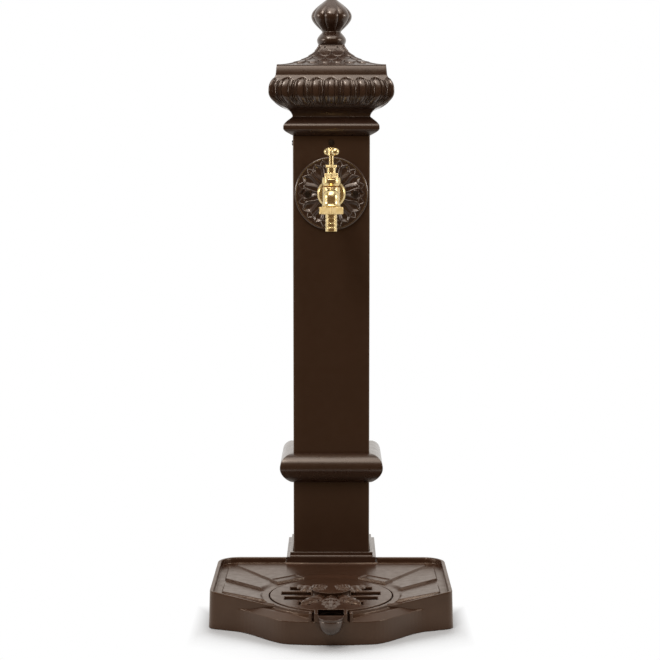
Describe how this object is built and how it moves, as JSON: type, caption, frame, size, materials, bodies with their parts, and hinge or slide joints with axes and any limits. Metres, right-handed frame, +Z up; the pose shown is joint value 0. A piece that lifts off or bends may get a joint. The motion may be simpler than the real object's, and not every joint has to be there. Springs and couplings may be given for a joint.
{
  "type": "garden standpipe",
  "caption": "Square cast column with a moulded capital and an onion finial, a brass screw-down hose tap on a round rosette, and a drip tray with a lift-out drain grate.",
  "frame": {"origin": "on the ground under the axis of the square column, in the bottom face of the foot", "axes": "+Z is up along the column, -Y is the front that the tap faces, +X is to the right of someone who faces the tap"},
  "size_m": [0.328, 0.4415, 0.8656],
  "materials": {
    "painted_iron": "semi-gloss dark brown paint on cast iron",
    "painted_tube": "semi-gloss dark brown paint on a steel tube",
    "brass": "polished yellow brass",
    "steel": "dark oxidised steel",
    "copper": "drawn copper tube",
    "rubber": "matt black rubber and fibre"
  },
  "bodies": {
    "stand": {"foot": "painted_iron", "column": "painted_tube", "column_collar": "painted_iron", "collar_screws": "steel", "column_screws": "steel", "drip_tray": "painted_iron", "tray_bolts": "steel", "capital": "painted_iron", "capital_screws": "steel", "capital_roof": "painted_iron", "finial": "painted_iron", "finial_stud": "steel", "finial_nut": "steel", "finial_washer": "steel", "rosette": "painted_iron", "rosette_screws": "steel", "riser_pipe": "copper", "tap_elbow": "brass", "elbow_nut": "brass", "inlet_connector": "brass", "inlet_nut": "brass", "flange_washer": "rubber", "tap_body": "brass", "bonnet_washer": "rubber", "tap_bonnet": "brass", "gland_packing": "rubber", "gland_nut": "brass"},
    "valve": {"jumper": "brass", "valve_washer": "rubber", "washer_nut": "brass"},
    "spindle": {"tap_spindle": "brass", "tee_handle": "brass"},
    "hose_coupling": {"hose_tail": "brass", "tail_washer": "rubber"},
    "union_nut": {"union_nut": "brass"},
    "grate": {"drain_grate": "painted_iron", "grate_knob": "painted_iron"}
  },
  "joints": [
    {"name": "valve_lift", "type": "slide", "parent": "stand", "child": "valve", "axis": [0, 0, 1], "range_m": [0, 0.0045]},
    {"name": "handle_turn", "type": "hinge", "parent": "valve", "child": "spindle", "pos_m": [0, -0.108, 0.6415], "axis": [0, 0, 1], "range_deg": [0, 540]},
    {"name": "tail_drop", "type": "slide", "parent": "stand", "child": "hose_coupling", "axis": [0, 0, -1], "range_m": [0, 0.0046]},
    {"name": "nut_turn", "type": "hinge", "parent": "hose_coupling", "child": "union_nut", "pos_m": [0, -0.14, 0.5604], "axis": [0, 0, -1], "range_deg": [0, 900]},
    {"name": "grate_lift", "type": "slide", "parent": "stand", "child": "grate", "axis": [0, 0, 1], "range_m": [0, 0.15]}
  ],
  "couplings": [
    {"joint": "valve_lift", "follows": "handle_turn", "m_per_rad": 0.00047746},
    {"joint": "tail_drop", "follows": "nut_turn", "m_per_rad": 0.00028871}
  ]
}
